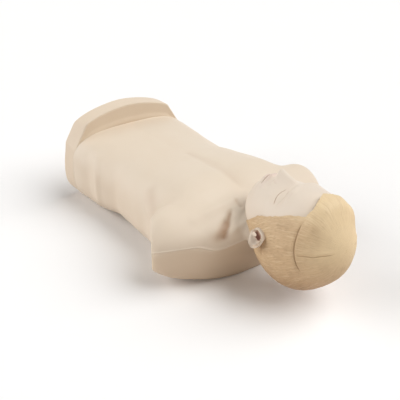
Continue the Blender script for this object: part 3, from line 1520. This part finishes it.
class Graph:
    """Node tree of a material or of the world."""

    def __init__(self, tree: bpy.types.NodeTree) -> None:
        """Start from an empty tree."""
        self.tree = tree
        tree.nodes.clear()

    def node(self, kind: str, settings: dict[str, Any] | None = None, inputs: dict[Any, Any] | None = None,
             output: int = 0) -> Value:
        """Add a node.

        Args:
            kind: Node type.
            settings: Properties, set before the sockets.
            inputs: Numbers or values for its sockets.
            output: Which output is handed back.

        Returns:
            The output as a value.
        """
        made = self.tree.nodes.new(kind)
        for key, value in (settings or {}).items():
            setattr(made, key, value)
        for key, value in (inputs or {}).items():
            if isinstance(value, Value):
                self.tree.links.new(value.socket, made.inputs[key])
            else:
                made.inputs[key].default_value = value
        return Value(self, made.outputs[output] if made.outputs else made.inputs[0])

    def mix(self, share: Any, first: Any, second: Any) -> Value:
        """Mix two colours."""
        inputs = {0: share, 6: opaque(first), 7: opaque(second)}
        return self.node("ShaderNodeMix", {"data_type": "RGBA"}, inputs, 2)

    def mark(self, name: str) -> Value:
        """Read a mark of the mesh as a number."""
        return self.node("ShaderNodeAttribute", {"attribute_name": name}, output=2)

    def place(self) -> Value:
        """The object's own coordinates."""
        return self.node("ShaderNodeTexCoord", output=3)

    def noise(self, scale: float, detail: float = 3.0, stretch: Triple = (1, 1, 1), mark: str = "") -> Value:
        """Add noise over the object's own coordinates, or over a vector mark of the mesh.

        Args:
            scale: Size of the pattern, larger for a finer one.
            detail: How many finer layers it has.
            stretch: Factor on each axis.
            mark: Name of the vector mark, if one is read.

        Returns:
            The noise as a value.
        """
        if mark:
            place = self.node("ShaderNodeAttribute", {"attribute_name": mark}, output=1)
        else:
            place = self.place()
        place = self.node("ShaderNodeMapping", None, {0: place, 3: stretch})
        return self.node("ShaderNodeTexNoise", None, {"Vector": place, "Scale": scale, "Detail": detail})

    def bump(self, height: Value, strength: float, distance: float, under: Value | None = None) -> Value:
        """Bump the surface by a height.

        Args:
            height: Pattern of the bump.
            strength: How much of it shows.
            distance: Its depth in metres.
            under: Bump that this one lies over.

        Returns:
            The bumped normal.
        """
        inputs: dict[Any, Any] = {"Strength": strength, "Distance": distance, "Height": height}
        if under is not None:
            inputs["Normal"] = under
        return self.node("ShaderNodeBump", None, inputs)

    def surface(self, inputs: dict[str, Any]) -> None:
        """Close the tree with a principled surface."""
        shader = self.node("ShaderNodeBsdfPrincipled", None, inputs)
        self.node("ShaderNodeOutputMaterial", None, {"Surface": shader})


def opaque(colour: Any) -> Any:
    """Colour with full alpha; a value stays as it is."""
    return colour if isinstance(colour, Value) else (*colour, 1.0)


def new_graph(name: str) -> tuple[bpy.types.Material, Graph]:
    """Start a material.

    Args:
        name: Name of the material.

    Returns:
        The material and its empty tree.
    """
    material = bpy.data.materials.new(name)
    material.use_nodes = True
    return material, Graph(material.node_tree)


@dataclass(frozen=True)
class Vinyl:
    """Soft or hard skin-coloured vinyl: faint mottling, fine pores, darker folds and paler worn edges."""

    slot: Slot
    colour: Colour
    shade: Colour
    roughness: float = 0.47
    pores: float = 0.10
    lips: Colour | None = None
    canal: Colour = (0.080, 0.013, 0.003)
    worn: Colour = (0.93, 0.86, 0.76)
    warmth: Triple = (0.975, 0.955, 0.935)

    def material(self) -> bpy.types.Material:
        """Build the finish.

        Returns:
            The material; lips and the ear's canal are on the face's finish alone.
        """
        material, graph = new_graph(self.slot.value)
        patches = graph.noise(9.0, 4.0).between(0.35, 0.70)
        clouds = graph.noise(34.0, 3.0).between(0.40, 0.75)
        warm = tuple(channel * factor for channel, factor in zip(self.colour, self.warmth))
        tint = graph.mix(patches * 0.65, self.colour, warm)
        tint = graph.mix(clouds * 0.30, tint, warm)
        if self.lips:
            tint = graph.mix(graph.mark("lips") * 0.75, tint, self.lips)
        tint = graph.mix(graph.mark("fold").between(0.06, 0.95) * 0.80, tint, self.shade)
        if self.lips:
            tint = graph.mix(graph.mark("canal").between(0.25, 0.90) * 0.95, tint, self.canal)
        tint = graph.mix(graph.mark("edge") * 0.16, tint, self.worn)
        grain = graph.noise(1100.0, 2.0)
        skin = graph.noise(260.0, 3.0)
        normal = graph.bump(grain, self.pores, 0.0003, graph.bump(skin, self.pores * 0.8, 0.0008))
        graph.surface({"Base Color": tint, "Roughness": skin * 0.12 + (self.roughness - 0.06), "IOR": 1.46,
                       "Specular IOR Level": 0.42, "Normal": normal})
        return material


@dataclass(frozen=True)
class MouldedHair:
    """Matte vinyl hair: streaks along the sweep, dark in the grooves and light on the ridges."""

    slot: Slot = Slot.HAIR
    colour: Colour = (0.81, 0.63, 0.385)
    light: Colour = (0.86, 0.71, 0.475)
    dark: Colour = (0.40, 0.25, 0.14)
    low: Colour = (0.48, 0.305, 0.17)
    high_level: float = 0.138
    low_level: float = 0.028

    def material(self) -> bpy.types.Material:
        """Build the finish.

        Returns:
            The material, darker towards the nape and below the ring.
        """
        material, graph = new_graph(self.slot.value)
        streak = graph.noise(30.0, 4.0, (24.0, 1.6, 1.0), "flow")
        strokes = graph.noise(75.0, 3.0, (16.0, 1.4, 1.0), "flow")
        strand = graph.mark("strand")
        height = graph.node("ShaderNodeSeparateXYZ", None, {0: graph.place()}, 2)
        low = height.between(self.high_level, self.low_level)
        low = (low * 0.95).larger(graph.mark("tone") * 0.56)
        base = graph.mix(low, self.colour, self.low)
        blotch = graph.noise(40.0, 5.0).between(0.46, 0.70) * (low * 0.75 + 0.10)
        tint = graph.mix(blotch * 0.60, base, self.dark)
        tint = graph.mix(strand.between(-0.1, 0.9) * 0.30, tint, self.light)
        tint = graph.mix(strand.between(0.1, -0.95) * 0.12, tint, self.dark)
        tint = graph.mix(streak.between(0.52, 0.74) * (low * 0.22 + 0.14), tint, self.dark)
        tint = graph.mix(streak.between(0.48, 0.30) * 0.24, tint, self.light)
        tint = graph.mix(strokes.between(0.50, 0.66) * (low * 0.55 + 0.16), tint, self.dark)
        tint = graph.mix(graph.mark("groove").between(0.15, 0.9) * 0.62, tint, self.dark)
        normal = graph.bump(streak, 0.35, 0.0012, graph.bump(strokes, 0.25, 0.0005))
        graph.surface({"Base Color": tint, "Roughness": streak * 0.2 + 0.46, "Specular IOR Level": 0.38,
                       "Normal": normal})
        return material


@dataclass(frozen=True)
class Inner:
    """Finish of the pieces inside: moulded plastic, rubber, film or plated steel."""

    slot: Slot
    colour: Colour
    roughness: float
    metallic: float = 0.0
    grain: float = 0.08
    stretch: Triple = (1.0, 1.0, 1.0)

    def material(self) -> bpy.types.Material:
        """Build the finish.

        Returns:
            The material, with a fine grain and faint wear.
        """
        material, graph = new_graph(self.slot.value)
        grain = graph.noise(420.0, 3.0, self.stretch)
        wear = graph.noise(28.0, 4.0).between(0.35, 0.75)
        worn = tuple(channel * 0.88 for channel in self.colour)
        tint = graph.mix(wear * 0.6, self.colour, worn)
        graph.surface({"Base Color": tint, "Roughness": grain * 0.16 + (self.roughness - 0.08),
                       "Metallic": self.metallic, "Normal": graph.bump(grain, self.grain, 0.0003)})
        return material


@dataclass
class Studio:
    """Pale floor, soft light from above and behind, and the camera."""

    eye: Triple = (0.9063, -0.7178, 0.6806)
    target: Triple = (-0.1062, 0.0507, 0.0189)
    lens: float = 62.36
    sensor: float = 36.0
    clip: tuple[float, float] = (0.01, 100.0)
    floor_half: float = 30.0
    sky: float = 0.07
    sky_colour: Colour = (1.0, 0.90, 0.82)
    floor_bounce: Colour = (0.78, 0.71, 0.66)
    white: Colour = (1.0, 0.995, 0.99)
    sun_angle: float = math.radians(60.0)
    # Name, power and direction of each lamp
    suns: tuple[tuple[str, float, Triple], ...] = (
        ("key", 2.75, (0.389, 0.512, 0.766)), ("fill", 2.2, (-0.568, -0.748, 0.342)),
        ("front", 0.35, (0.769, -0.584, 0.259)))

    def build(self) -> None:
        """Set the floor, the lights and the camera."""
        bpy.context.scene.view_settings.view_transform = "Standard"
        self.build_floor()
        self.build_sky()
        for name, power, place in self.suns:
            lamp = bpy.data.lights.new(name, "SUN")
            lamp.angle, lamp.energy = self.sun_angle, power
            self.aim(name, lamp, place, (0.0, 0.0, 0.0))
        camera = bpy.data.cameras.new("camera")
        camera.lens, camera.sensor_width = self.lens, self.sensor
        camera.clip_start, camera.clip_end = self.clip
        bpy.context.scene.camera = self.aim("camera", camera, self.eye, self.target)

    def build_floor(self) -> None:
        """Lay the floor, white to the camera and a warm grey where it throws light on the object."""
        bm = bmesh.new()
        bmesh.ops.create_grid(bm, x_segments=1, y_segments=1, size=self.floor_half)
        mesh = bpy.data.meshes.new("floor")
        bm.to_mesh(mesh)
        bm.free()
        material, graph = new_graph("floor_white")
        tint = graph.mix(self.seen(graph), self.floor_bounce, self.white)
        graph.surface({"Base Color": tint, "Roughness": 0.95, "Specular IOR Level": 0.0})
        mesh.materials.append(material)
        floor = bpy.data.objects.new("floor", mesh)
        bpy.context.scene.collection.objects.link(floor)

    def build_sky(self) -> None:
        """Make the world white to the camera and a faint warm light to the object."""
        world = bpy.data.worlds.new("studio")
        bpy.context.scene.world = world
        world.use_nodes = True
        graph = Graph(world.node_tree)
        seen = self.seen(graph)
        tint = graph.mix(seen, self.sky_colour, self.white)
        level = seen * (1.0 - self.sky) + self.sky
        shader = graph.node("ShaderNodeBackground", None, {"Color": tint, "Strength": level})
        graph.node("ShaderNodeOutputWorld", None, {"Surface": shader})

    @staticmethod
    def seen(graph: Graph) -> Value:
        """1 on rays from the camera and on those that a shiny or clear surface sends on."""
        camera, glossy, clear = (graph.node("ShaderNodeLightPath", output=number) for number in (0, 3, 6))
        return camera.larger(glossy).larger(clear)

    @staticmethod
    def aim(name: str, data: bpy.types.ID, place: Sequence[float],
            target: Sequence[float]) -> bpy.types.Object:
        """Place a light or a camera and turn it to a target.

        Args:
            name: Name of the object.
            data: The light or the camera.
            place: Where it stands.
            target: What it looks at.

        Returns:
            The object.
        """
        item = bpy.data.objects.new(name, data)
        item.location = place
        item.rotation_mode = "QUATERNION"
        item.rotation_quaternion = (Vector(target) - Vector(place)).to_track_quat("-Z", "Y")
        bpy.context.scene.collection.objects.link(item)
        return item


def finishes() -> dict[Slot, bpy.types.Material]:
    """Make the finish of every slot.

    Returns:
        Materials by slot.
    """
    kinds = (
        Vinyl(Slot.SKIN, (0.775, 0.667, 0.537), (0.36, 0.185, 0.085)),
        Vinyl(Slot.SHELL, (0.735, 0.605, 0.460), (0.36, 0.20, 0.105), roughness=0.52, pores=0.16),
        Vinyl(Slot.FACE, (0.785, 0.685, 0.575), (0.34, 0.18, 0.10), lips=(0.70, 0.545, 0.475)),
        MouldedHair(),
        Inner(Slot.INNER, (0.78, 0.78, 0.75), 0.45),
        Inner(Slot.GREY, (0.30, 0.31, 0.32), 0.5),
        Inner(Slot.RUBBER, (0.03, 0.03, 0.03), 0.75, grain=0.2),
        Inner(Slot.FILM, (0.84, 0.86, 0.87), 0.22, grain=0.03),
        Inner(Slot.STEEL, (0.70, 0.70, 0.72), 0.30, metallic=1.0, stretch=(1.0, 1.0, 0.06)))
    return {kind.slot: kind.material() for kind in kinds}


def dress_frame(made: dict[Slot, bpy.types.Material]) -> None:
    """Give every solid of the frame the finish of its own slot.

    Args:
        made: Materials by slot.
    """
    slots = {part["node"]: Slot(part["material_slot"]) for part in frame["record"]["subparts"]}
    for name, node in frame["nodes"].items():
        node.data.materials.clear()
        node.data.materials.append(made[slots[name]])


def main() -> None:
    """Build the dressed figure, the studio and the size note."""
    logging.basicConfig(level=logging.INFO, format="%(message)s")
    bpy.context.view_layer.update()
    made = finishes()
    dress_frame(made)
    ChestSkin().build(made[Slot.SKIN])
    BackShell().build(made[Slot.SHELL])
    HairCap().build(made[Slot.HAIR])
    FaceMask().build(made[Slot.FACE])
    for side in Side:
        Ear(side).build(made[Slot.FACE])
    airway = Airway()
    airway.build_tube(made[Slot.FILM])
    airway.build_bag(made[Slot.FILM])
    ReturnSpring().build(made[Slot.STEEL])
    Studio().build()
    bpy.context.view_layer.update()


if __name__ == "__main__":
    main()
